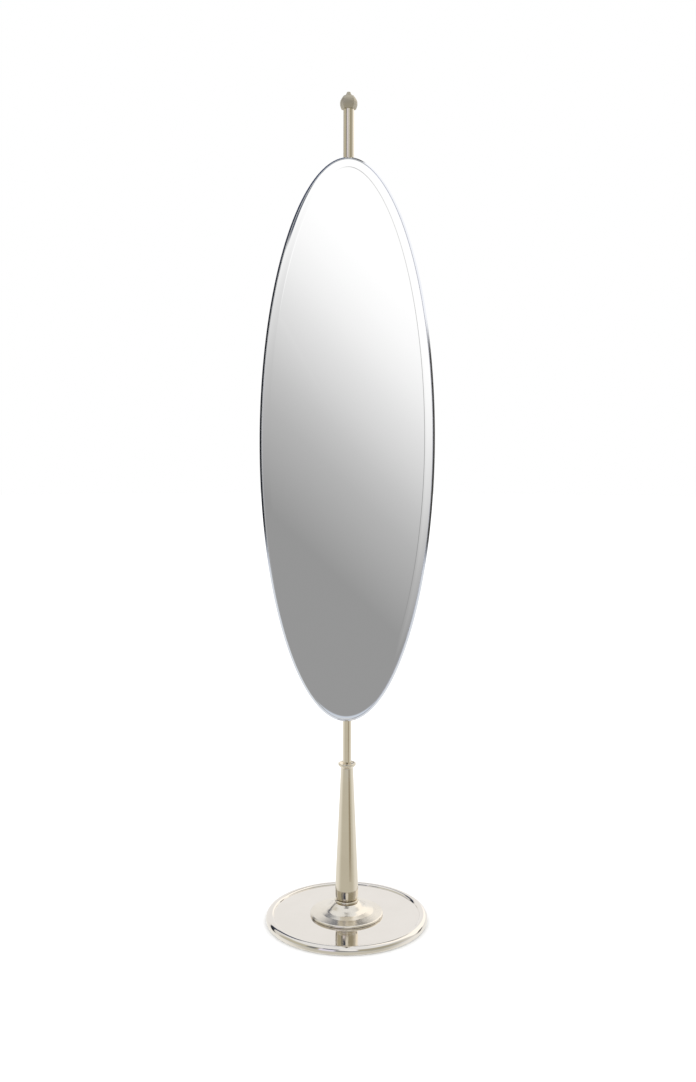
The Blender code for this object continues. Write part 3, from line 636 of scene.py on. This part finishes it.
def knob(name, node, axis, letter, place, body, size, drawing):
    """A fluted knob on the node's own length. Its drawing is scaled to its radius."""
    low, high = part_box(node)
    length = (high[axis] - low[axis]) / MM
    deepest = max(h for _, h, _ in drawing)
    corners = [(r * size, h * length / deepest, c) for r, h, c in drawing]
    outline = along_axis(node, axis, corners)
    return turned(name, outline, body, [node], 160, place, letter, ten_flutes, 6, False)


knob_drawing = [
    (0.0, 0.0, 0.0), (0.58, 0.0, 0.4), (0.62, 4.0, 1.6), (0.86, 5.4, 1.5), (1.0, 8.2, 1.6),
    (1.0, 15.2, 1.8), (0.84, 18.7, 1.6), (0.70, 19.5, 1.0), (0.55, 18.8, 2.0), (0.0, 18.4, 0.0),
]
tilt_knob = knob(
    "tilt_hand_knob", "tilt_knob", 0, "x", (0.0, PIVOT[1], PIVOT[2]), "tilt_knob", 14.5, knob_drawing,
)
stop_knob = knob(
    "stop_hand_knob", "stop_knob", 1, "y", (0.0, 0.0, KNOB_PLACE[2]), "stop_knob", 12.0, knob_drawing,
)

bolt_outline = along_axis("tilt_bolt", 0, [
    (0.0, 0.0, 0.0), (4.6, 0.4, 2.0), (7.4, 2.3, 2.0), (8.0, 5.0, 0.4), (4.0, 5.0, 0.0),
    (4.0, 49.5, 0.3), (0.0, 49.5, 0.0),
])
tilt_bolt = turned(
    "tilt_bolt_rod", bolt_outline, "mirror", ["tilt_bolt"], 96,
    (0.0, PIVOT[1], PIVOT[2]), "x", closed=False,
)

# %% [markdown]
# ## The rim
#
# A thin band of bright steel holds the glass. Its face slopes away outwards, so from the front
# it shows a dark line outside and a light one at the rounded crown. The section is drawn once,
# as inset from the outer edge and depth behind the front, and carried round the ellipse. Each
# point moves inwards along the ellipse's own normal, so the band keeps its width all the way.

# %% Carry a section round the ellipse
OVAL_STEPS = 384


def oval_grid(insets, depths, extra=0.0):
    """A section carried round the ellipse, in the upright mirror's axes, then leaned.

    The ellipse is (a cos t, b sin t). Its normal is (b cos t, a sin t) made unit length, and a
    point of the section is the ellipse's point less inset times the normal. extra is added to
    the depths, and may change round the ellipse.
    """
    t = np.linspace(0.0, 2.0 * math.pi, OVAL_STEPS, endpoint=False)
    a, b = HALF_WIDTH, HALF_HEIGHT
    normal = np.stack([b * np.cos(t), a * np.sin(t)], -1)
    normal /= np.linalg.norm(normal, axis=1)[:, None]
    edge = np.stack([a * np.cos(t), b * np.sin(t)], -1)
    flat = edge[None] - np.asarray(insets)[:, None, None] * normal[None]
    y = np.broadcast_to(np.asarray(depths)[:, None] + extra, flat.shape[:2])
    return lean_back(np.stack([flat[..., 0], y, flat[..., 1]], -1))


def oval_piece(name, section, node, sharp=40.0, steps=6):
    """A band: a closed section of (inset, depth behind the rim's front, rounding) in mm."""
    outline = rounded([(i * MM, RIM_LOW[1] + d * MM, c * MM) for i, d, c in section], steps)
    grid = oval_grid(outline[:, 0], outline[:, 1])
    return add_mesh(name, grid, True, True, "mirror", [node], sharp)


rim_depth = (RIM_HIGH[1] - RIM_LOW[1]) / MM
rim = oval_piece("rim_band", [
    (0.0, 8.2, 0.6), (5.1, 0.25, 0.5), (5.75, 0.0, 0.4), (6.0, 0.9, 0.3), (6.0, 2.4, 0.15),
    (4.2, 2.8, 0.1), (4.2, 7.3, 0.1), (2.0, 7.4, 0.1), (2.0, rim_depth, 0.3),
    (0.0, rim_depth, 0.6),
], "mirror_rim")

# %% [markdown]
# ## The glass
#
# A silvered glass has a flat field and a ground bevel, polished a little round. Glass bends the
# light, so a bevel turns the reflection by only half of what metal at its angle would. The silver
# is made as the visible surface, and its bevel has the gentler slope that gives the right
# reflection. The arris between field and bevel is crisp, so it is a sharp edge, and the field is
# a plain fan from the centre, which is exactly flat. A low ridge, a sixth of a millimetre high,
# runs along the arris at the top and right, where it shows as a thin line. It fades out at the
# lower left.

# %% A slab from rings
def oval_slab(name, section, node, sharp, extra=0.0):
    """A closed slab: rows from the centre of the front, over the edge, to the centre of the back.

    section holds (inset, y) of each ring in the upright mirror's axes, in metres.
    """
    insets, depths = np.array(section).T
    rings = oval_grid(insets, depths, extra)
    front = np.broadcast_to(lean_back([0.0, depths[0], 0.0]), rings[:1].shape)
    back = np.broadcast_to(lean_back([0.0, depths[-1], 0.0]), rings[:1].shape)
    grid = np.concatenate([front, rings, back])
    return add_mesh(name, grid, False, True, "mirror", [node], sharp)


# %% Bevel
glass_inset = HALF_WIDTH - GLASS_HIGH[0]
BEVEL_WIDTH = 22.0 * MM
BEVEL_TILT = math.radians(6.0)
HIDDEN = 2.1 * MM
ARRIS_WIDTH = 1.6 * MM
ARRIS_RISE = 0.17 * MM


def bevel_rings(count=40):
    """Rings of a bevel that starts at a crisp arris and curves away to the edge.

    The tilt at the share t of the way out is BEVEL_TILT * (0.06 + 0.94 t^1.6), and the depth is
    the tilt added up over the width. The glass stops HIDDEN short of its full width, under the
    rim's lip, so that it clears the sloped face. Polishing leaves a fine ridge along the arris,
    ARRIS_RISE high, whose inner side shows as a thin line. It is worn away at the lower left.
    """
    t = np.linspace(0.0, 1.0 - HIDDEN / BEVEL_WIDTH, count)
    tilt = np.tan(BEVEL_TILT * (0.06 + 0.94 * t ** 1.6))
    width = BEVEL_WIDTH * t[1]
    drop = np.concatenate([[0.0], np.cumsum((tilt[1:] + tilt[:-1]) / 2.0 * width)])
    ridge = [(glass_inset + BEVEL_WIDTH + ARRIS_WIDTH, GLASS_LOW[1])]
    insets, depths = glass_inset + BEVEL_WIDTH * (1.0 - t), GLASS_LOW[1] - ARRIS_RISE + drop
    return ridge + list(zip(insets, depths))


# %% Glass
# The ridge's share at the angle t round the ellipse is 0.5 + 1.4 cos(t - 45 degrees), held
# between 0 and 1.
bevel = bevel_rings()
turn_angle = np.linspace(0.0, 2.0 * math.pi, OVAL_STEPS, endpoint=False)
ridge_share = np.clip(0.5 + 1.4 * np.cos(turn_angle - math.radians(45.0)), 0.0, 1.0)
worn_away = np.zeros((len(bevel) + 2, OVAL_STEPS))
worn_away[1:len(bevel)] = ARRIS_RISE * (1.0 - ridge_share)
glass = oval_slab("bevelled_glass", bevel + [
    (glass_inset + HIDDEN, GLASS_HIGH[1] - 0.1 * MM),
    (glass_inset + HIDDEN + 0.2 * MM, GLASS_HIGH[1]),
], "mirror_glass", 0.25, worn_away)

# %% Backing board
BOARD_CHAMFER = 0.8 * MM
board_inset = HALF_WIDTH - BOARD_HIGH[0]
board = oval_slab("backing_panel", [
    (board_inset + BOARD_CHAMFER, BOARD_LOW[1]),
    (board_inset, BOARD_LOW[1] + BOARD_CHAMFER),
    (board_inset, BOARD_HIGH[1] - BOARD_CHAMFER),
    (board_inset + BOARD_CHAMFER, BOARD_HIGH[1]),
], "backing_board", 30.0)

# %% [markdown]
# ## Screws
#
# Domed screws with a slot hold the clips and the hinge plate, and two more lock the sleeve. The
# head is one surface over a disc: a dome, less the slot wherever the point is near the line
# across the middle. The slots point every way, as a fitter leaves them, from a seeded generator.

# %% Screw heads
rng = np.random.default_rng(12)


def slotted_head(name, centre, across, up, out, radius, height, body, node, shank=0.0):
    """A slotted dome over a disc, in metres.

    The surface is height * sqrt(1 - 0.9 r^2), less a slot that is deepest within 0.11 radius of a
    line across the middle. across, up and out are the head's axes, and the slot is turned by a
    random angle.
    """
    r = np.concatenate([[0.0], np.linspace(0.06, 0.97, 15), [1.0, 1.0]])
    angle = np.linspace(0.0, 2.0 * math.pi, 64, endpoint=False)
    rr, aa = np.meshgrid(r, angle, indexing="ij")
    turn = rng.uniform(0.0, math.pi)
    from_slot = np.abs(rr * np.sin(aa - turn))
    slot = np.clip((0.16 - from_slot) / 0.05, 0.0, 1.0)
    dome = height * np.sqrt(1.0 - 0.90 * rr ** 2)
    h = np.maximum(dome - slot * 0.45 * height, 0.12 * height)
    h[-1] = -shank
    plane = [rr * radius * np.cos(aa), rr * radius * np.sin(aa), h]
    axes = (across, up, out)
    grid = np.asarray(centre) + sum(p[..., None] * np.asarray(a) for p, a in zip(plane, axes))
    foot = np.broadcast_to(np.asarray(centre) - shank * np.asarray(out), grid[:1].shape)
    grid = np.concatenate([grid, foot])
    return add_mesh(name, grid, False, True, body, [node], 30.0)


# %% Every screw in its place
X_AXIS = np.array([1.0, 0.0, 0.0])
MIRROR_UP = lean_back([0.0, 0.0, 1.0]) - PIVOT
MIRROR_BACK = lean_back([0.0, 1.0, 0.0]) - PIVOT
SCREW_RADIUS = 3.8 * MM
SCREW_DOME = 2.4 * MM
SET_SCREW = 4.5 * MM
back_screws = ["clip_screw_%d" % n for n in range(1, 9)] + ["hinge_screw_%d" % n for n in range(1, 5)]
screw_heads = []
for node in back_screws:
    low, high = upright(node)
    seat = high[1] - SCREW_DOME
    middle = lean_back([(low[0] + high[0]) / 2.0, seat, (low[2] + high[2]) / 2.0])
    screw_heads.append(slotted_head(
        node + "_head", middle, X_AXIS, MIRROR_UP, MIRROR_BACK, SCREW_RADIUS, SCREW_DOME,
        "mirror", node,
    ))
for label in ("lower", "upper"):
    node = "set_screw_" + label
    low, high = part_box(node)
    middle = [0.0, high.y - SET_SCREW, (low.z + high.z) / 2.0]
    screw_heads.append(slotted_head(
        node + "_head", middle, X_AXIS, [0.0, 0.0, -1.0], [0.0, 1.0, 0.0], SET_SCREW, SET_SCREW,
        "post", node,
    ))

# %% Clamp screw's shank
SHANK_RADIUS = 3.0 * MM
shank_start = span("stop_collar")[0] + 0.1 * MM
shank_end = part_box("stop_screw")[1].y - 0.2 * MM
stop_screw = turned("stop_screw_shank", [
    (0.0, shank_start, 0.0), (SHANK_RADIUS, shank_start, 0.2 * MM),
    (SHANK_RADIUS, shank_end, 0.2 * MM), (0.0, shank_end, 0.0),
], "stop_knob", ["stop_screw"], 64, (0.0, 0.0, KNOB_PLACE[2]), "y", closed=False)

# %% [markdown]
# ## Finishes for the other parts
#
# The rim is bright stainless steel, which is cooler than nickel and is brushed lightly along its
# length. The small hardware is zinc-plated, with the patchy sheen and crystal spangle of plating.
# The glass is silver behind clear glass: almost no colour, and only a trace of dust and wiping.
# Board, felt, cast iron, brass, nylon and fibre each get the grain that tells them apart.

# %% Rim steel, silver and zinc
def silvered_glass():
    """Silver seen through glass: a clear mirror with faint wipe marks and specks of dust."""
    shader = Shader("silvered_glass")
    wipe = smooth_step(shader.noise(5.0, 5.0, 0.6, (1.0, 1.0, 0.45)), 0.52, 0.80)
    streaks = smooth_step(shader.noise(26.0, 4.0, 0.6, (5.0, 1.0, 0.6)), 0.60, 0.85)
    dust = shader.node("TexVoronoi", Vector=shader.place(), Scale=210.0, Randomness=1.0)
    specks = 1.0 - smooth_step(dust, 0.03, 0.09)
    tint = shader.mix(wipe * 0.5 + streaks * 0.3, (0.930, 0.930, 0.930), (0.915, 0.920, 0.918))
    roughness = wipe * 0.018 + streaks * 0.012 + specks * 0.03 + 0.012
    return shader.set(Base_Color=tint, Metallic=1.0, Roughness=roughness)


def zinc_steel():
    """Zinc plate: a cool grey metal, clouded, with fine crystals and worn bright spots."""
    shader = Shader("zinc_plated_steel")
    cloud = shader.noise(60.0, 6.0, 0.65)
    crystal = shader.node("TexVoronoi", output=1, Vector=shader.place(), Scale=900.0)
    grain = shader.node("SeparateXYZ", Vector=crystal)
    tone = cloud * 0.6 + grain * 0.4
    color = shader.ramp(tone, (0.25, (0.42, 0.43, 0.45)), (0.75, (0.62, 0.63, 0.64)))
    shader.bump(grain * 0.4 + cloud * 0.6, 0.35, 0.00006)
    roughness = smooth_step(cloud, 0.3, 0.7) * 0.16 + 0.20
    return shader.set(Base_Color=color, Metallic=1.0, Roughness=roughness)


rim_steel = polished_metal(
    "bright_rim_steel", (0.68, 0.72, 0.80), (0.63, 0.67, 0.76), 0.075, haze=0.03, rings=0.02,
)
silver = silvered_glass()
zinc = zinc_steel()
print("made", rim_steel.name + ",", silver.name, "and", zinc.name)

# %% Board, felt, iron, brass, nylon and fibre
def painted_board():
    """Black-painted fibreboard: roller stipple over pressed fibres, rubbed grey at places."""
    shader = Shader("black_painted_board")
    stipple = shader.noise(520.0, 3.0, 0.6)
    fibre = shader.noise(90.0, 6.0, 0.7, (1.0, 1.0, 0.25))
    rubbed = smooth_step(shader.noise(14.0, 7.0, 0.7), 0.60, 0.78)
    base = shader.mix(fibre, (0.018, 0.018, 0.019), (0.036, 0.035, 0.034))
    shader.bump(stipple * 0.7 + fibre * 0.3, 0.45, 0.0004)
    color = shader.mix(rubbed * 0.5, base, (0.085, 0.080, 0.074))
    return shader.set(Base_Color=color, Roughness=stipple * 0.16 + rubbed * 0.12 + 0.48)


def pressed_felt():
    """Wool felt: short tangled fibres, with painted shade darkening the hollows, quite matt."""
    shader = Shader("charcoal_felt")
    fluff = shader.noise(700.0, 6.0, 0.75)
    tangle = shader.noise(180.0, 5.0, 0.65, (1.0, 2.2, 1.0))
    # Painted shade: the colour follows the felt's relief, dark in the hollows and light on the raised
    # fibres.
    relief_painted_shade = smooth_step(fluff * 0.6 + tangle * 0.4, 0.35, 0.65)
    color = shader.mix(relief_painted_shade, (0.020, 0.021, 0.023), (0.070, 0.070, 0.074))
    shader.bump(fluff * 0.6 + tangle * 0.4, 0.8, 0.0008)
    return shader.set(Base_Color=color, Roughness=fluff * 0.1 + 0.88)


def cast_iron():
    """Sand-cast iron under thin black lacquer: a pebbled skin with brown bloom in the pits."""
    shader = Shader("lacquered_cast_iron")
    sand = shader.noise(420.0, 5.0, 0.7)
    lumps = shader.noise(45.0, 4.0, 0.6)
    bloom = smooth_step(shader.noise(24.0, 6.0, 0.7), 0.58, 0.72)
    color = shader.mix(bloom * 0.6, (0.040, 0.040, 0.042), (0.115, 0.062, 0.036))
    shader.bump(sand * 0.6 + lumps * 0.4, 0.7, 0.0006)
    return shader.set(Base_Color=color, Metallic=0.35, Roughness=sand * 0.2 + bloom * 0.2 + 0.45)


def moulded(name, light, dark, scale, base_roughness, relief):
    """A moulded or pressed part: two close tones, a grain at one scale, and a soft relief."""
    shader = Shader(name)
    grain = shader.noise(scale, 5.0, 0.6)
    cloud = shader.noise(scale * 0.12, 4.0, 0.6)
    color = shader.mix(grain * 0.55 + cloud * 0.45, dark, light)
    shader.bump(grain, 0.4, relief)
    return shader.set(Base_Color=color, Roughness=cloud * 0.14 + base_roughness)


board_paint = painted_board()
felt = pressed_felt()
iron = cast_iron()
nylon = moulded("milky_nylon", (0.62, 0.60, 0.54), (0.50, 0.48, 0.42), 260.0, 0.34, 0.0001)
fibre = moulded("vulcanised_fibre", (0.30, 0.085, 0.050), (0.19, 0.050, 0.032), 340.0, 0.48, 0.0002)
brass = polished_metal("turned_brass", (0.80, 0.62, 0.33), (0.70, 0.52, 0.26), 0.16, haze=0.12)

coat(finial, satin_nickel)
coat(boss, cast_nickel_painted_light)
for piece in (foot_ring, column, collar, lower_pole, upper_tube, stop_collar, bracket,
              tilt_knob, stop_knob):
    coat(piece, nickel)
for piece in (*screw_heads, tilt_bolt, stop_screw):
    coat(piece, zinc)
coat(thrust_washer, brass)
coat(tube_bush, nylon)
coat(rim, rim_steel)
coat(glass, silver)
coat(board, board_paint)
for node, material in {
    "felt_pad": felt, "ballast": iron, "tie_washer": zinc, "tie_nut": zinc, "tie_rod": zinc,
    "column_plug": zinc, "pole_guide": nylon, "finial_stud": zinc, "hinge_plate": zinc,
    "fibre_washer_left": fibre, "fibre_washer_right": fibre,
}.items():
    coat(frame["nodes"][node], material)
for number in range(1, 9):
    coat(frame["nodes"]["clip_%d" % number], zinc)
print("materials:", len(bpy.data.materials))

# %% [markdown]
# ## The studio
#
# The floor and the backdrop are plain white. What the metal shows is the rest of the room: a
# tall window of light in front, warm grey walls, a narrow dark curtain at each side, a dark
# ceiling panel behind on the left and a bright one on the right. The room is a formula of the
# direction that a ray leaves in, so there is nothing to model, and it stays the same from every
# side. The camera and matt surfaces get an even white instead, so the world is not sampled as a
# lamp, which could not tell the kinds of ray apart.

# %% The room as a formula of direction
world = bpy.data.worlds.new("studio")
bpy.context.scene.world = world
world.cycles.sampling_method = "NONE"
room = Shader("studio", world)
room.tree.nodes.clear()
compass = room.node("SeparateXYZ", Vector=room.node("TexCoord", output=0))
east = compass
north = Value(room, compass.socket.node.outputs[1])
up = Value(room, compass.socket.node.outputs[2])
bearing = east.math("ARCTAN2", north * -1.0) * math.degrees(1.0)
height = up.math("ARCSINE") * math.degrees(1.0)


def between(value, low, high, soft):
    """1 between low and high, 0 outside them by more than soft."""
    return smooth_step(value, low - soft, low) * (1.0 - smooth_step(value, high, high + soft))


def angle_from(azimuth, elevation):
    """The angle in degrees between a ray and one direction of the room.

    Azimuth 0 is towards the viewer's side, -Y, and +90 is +X.
    """
    a, e = math.radians(azimuth), math.radians(elevation)
    aim = (math.sin(a) * math.cos(e), -math.cos(a) * math.cos(e), math.sin(e))
    facing = east * aim[0] + north * aim[1] + up * aim[2]
    return facing.math("ARCCOSINE") * math.degrees(1.0)


# %% Walls and ground
aside = bearing.math("ABSOLUTE")
sideways = smooth_step(aside, 55.0, 105.0)
wall = room.mix(sideways, (0.47, 0.44, 0.35), (0.80, 0.78, 0.74))
wall = room.mix(smooth_step(aside, 105.0, 150.0), wall, (1.0, 0.99, 0.985))
wall = room.mix(between(bearing, -100.0, -52.0, 6.0), wall, (0.60, 0.57, 0.46))
window_frame = between(bearing, -52.0, -44.0, 5.0) * between(height, 3.0, 40.0, 4.0)
wall = room.mix(window_frame, wall, (0.22, 0.23, 0.24))
wall = room.mix(smooth_step(height, 34.0, 52.0), wall, (0.97, 0.98, 1.0))
bright_side = between(bearing, 108.0, 165.0, 6.0) * between(height, 13.0, 60.0, 5.0)
wall = room.mix(bright_side, wall, (1.32, 1.27, 1.20))
ground = room.mix(sideways, (0.68, 0.655, 0.575), (1.0, 0.985, 0.94))
stand_shade = between(bearing, 30.0, 48.0, 7.0) * smooth_step(height, -18.5, -15.5)
ground = room.mix(stand_shade, ground, (0.40, 0.35, 0.26))
near_ground = room.mix(sideways, (0.62, 0.67, 0.75), (0.97, 0.97, 0.97))
ground = room.mix(smooth_step(height, -12.5, -10.0), ground, near_ground)
sky = room.mix(smooth_step(height, -7.0, -5.5), ground, wall)

# %% [markdown]
# ## The dark curtain
#
# The dark curtain is a band at one angle from the mirror's own line of sight, so the sloped rim
# shows it all the way up its left side and over the top, and at the middle of its right side.
# Round dark patches would reach the rim too, but they would also stain the base.

# %% Curtain
CURTAIN_BLACK, CURTAIN_BLUE = (0.020, 0.021, 0.025), (0.058, 0.074, 0.122)
CURTAIN_BROWN = (0.075, 0.068, 0.058)
band = between(angle_from(0.0, 17.0), 113.5, 122.0, 2.5)
left_side = between(bearing, -178.0, -100.0, 3.0) * smooth_step(height, -12.0, -6.0)
over_top = smooth_step(aside, 158.0, 164.0) * smooth_step(height, 34.0, 38.0)
right_side = between(bearing, 100.0, 132.0, 4.0) * between(height, -8.0, 11.0, 4.0)
dark = room.mix(smooth_step(height, 14.0, 38.0), CURTAIN_BLACK, CURTAIN_BLUE)
dark = room.mix(smooth_step(bearing, 90.0, 100.0), dark, CURTAIN_BROWN)
sky = room.mix(band * left_side.math("MAXIMUM", over_top).math("MAXIMUM", right_side), sky, dark)

# %% [markdown]
# ## The window
#
# The glass itself shows the window, darker below and brighter above, slanting a little with the
# bearing. Its left part is a lilac strip, which makes the bright line down the upper tube, and a
# dark corner at the upper left darkens the bevel there.

# %% Window
LILAC = (0.92, 0.90, 1.05)
sideways_in_window = east.math("MINIMUM", 0.085).math("MAXIMUM", -0.085)
slant = up + sideways_in_window * 0.957
window_tone = room.ramp(
    slant / 0.4, (0.115, 0.326), (0.25, 0.426), (0.336, 0.490), (0.423, 0.586), (0.509, 0.708),
    (0.594, 0.818), (0.678, 0.938), (0.76, 1.03), (0.84, 1.087),
)
window_tone = room.mix(smooth_step(bearing, -12.0, -18.0), window_tone, LILAC)
window = between(bearing, -35.0, 14.0, 4.0) * between(height, -7.0, 44.0, 2.0)
sky = room.mix(window, sky, window_tone)
corner = between(bearing, -34.0, -10.5, 1.0) * between(height, 23.5, 42.0, 2.0)
sky = room.mix(corner, sky, CURTAIN_BLUE)

# %% What each kind of ray sees
MATT_LIGHT = (1.35, 1.35, 1.35)
path = room.node("LightPath")
is_matt = Value(room, path.socket.node.outputs[2])
sky = room.mix(is_matt, sky, MATT_LIGHT)
sky = room.mix(path, sky, (1.0, 1.0, 1.0))
backdrop = room.node("Background", Color=sky, Strength=1.0)
output = room.tree.nodes.new("ShaderNodeOutputWorld")
room.feed(output.inputs["Surface"], backdrop)
print("the room has", len(room.tree.nodes), "nodes")

# %% [markdown]
# ## Floor and camera
#
# The floor is a very large pale sheet, seen by the camera and by matt surfaces. Polished metal
# looks past it to the lower half of the room, whose warm pale ground was worked out above. The
# camera stands a little over a metre and a quarter high, looks slightly down, and is turned and
# rolled by a fraction of a degree.

# %% Floor
def floor_sheet():
    """A disc of 40 m about the stand, on a grid of radius and angle, with a faint paper grain."""
    radius = np.array([0.0, 0.5, 2.0, 8.0, 20.0])[:, None]
    angle = np.linspace(0.0, 2.0 * math.pi, 96, endpoint=False)[None]
    flat = radius * 0.0 - 0.0002 + angle * 0.0
    points = np.stack([radius * np.cos(angle), radius * np.sin(angle), flat], -1)
    rows, columns = points.shape[:2]
    u0, v0 = np.meshgrid(np.arange(rows - 1), np.arange(columns), indexing="ij")
    v1 = (v0 + 1) % columns
    inner, outer = u0 * columns, (u0 + 1) * columns
    faces = np.stack([inner + v0, outer + v0, outer + v1, inner + v1], -1)
    mesh = bpy.data.meshes.new("floor")
    mesh.from_pydata(points.reshape(-1, 3).tolist(), [], faces.reshape(-1, 4).tolist())
    floor = bpy.data.objects.new("floor", mesh)
    bpy.context.scene.collection.objects.link(floor)
    shader = Shader("white_paper")
    color = shader.mix(shader.noise(3.0, 3.0), (0.90, 0.90, 0.90), (0.91, 0.91, 0.91))
    coat(floor, shader.set(Base_Color=color, Roughness=1.0, Specular_IOR_Level=0.0))
    floor.visible_glossy = False
    return floor


floor = floor_sheet()
print("floor of", len(floor.data.polygons), "faces")

# %% Camera
def camera_axes(pitch, yaw, roll):
    """Right, up and backward axes of a camera, from its turns in radians."""
    forward = np.array([
        math.sin(yaw) * math.cos(pitch), math.cos(yaw) * math.cos(pitch), -math.sin(pitch),
    ])
    right = np.array([math.cos(yaw), -math.sin(yaw), 0.0])
    above = np.cross(right, forward)
    c, s = math.cos(roll), math.sin(roll)
    return right * c + above * s, above * c - right * s, -forward


CAMERA_PLACE = (0.036, -2.867, 1.277)
LOOK_DOWN, TURN, ROLL = 0.0974, -0.0122, 0.0026
camera_data = bpy.data.cameras.new("camera")
camera_data.lens = 37.78
camera_data.sensor_width = 36.0
camera_data.sensor_fit = "AUTO"
camera = bpy.data.objects.new("camera", camera_data)
bpy.context.scene.collection.objects.link(camera)
axes = camera_axes(LOOK_DOWN, TURN, ROLL)
camera.matrix_world = Matrix.Translation(CAMERA_PLACE) @ Matrix(axes).transposed().to_4x4()
bpy.context.scene.camera = camera
bpy.context.scene.view_settings.view_transform = "Standard"
print("camera at", CAMERA_PLACE)

# %% Update the scene
bpy.context.view_layer.update()
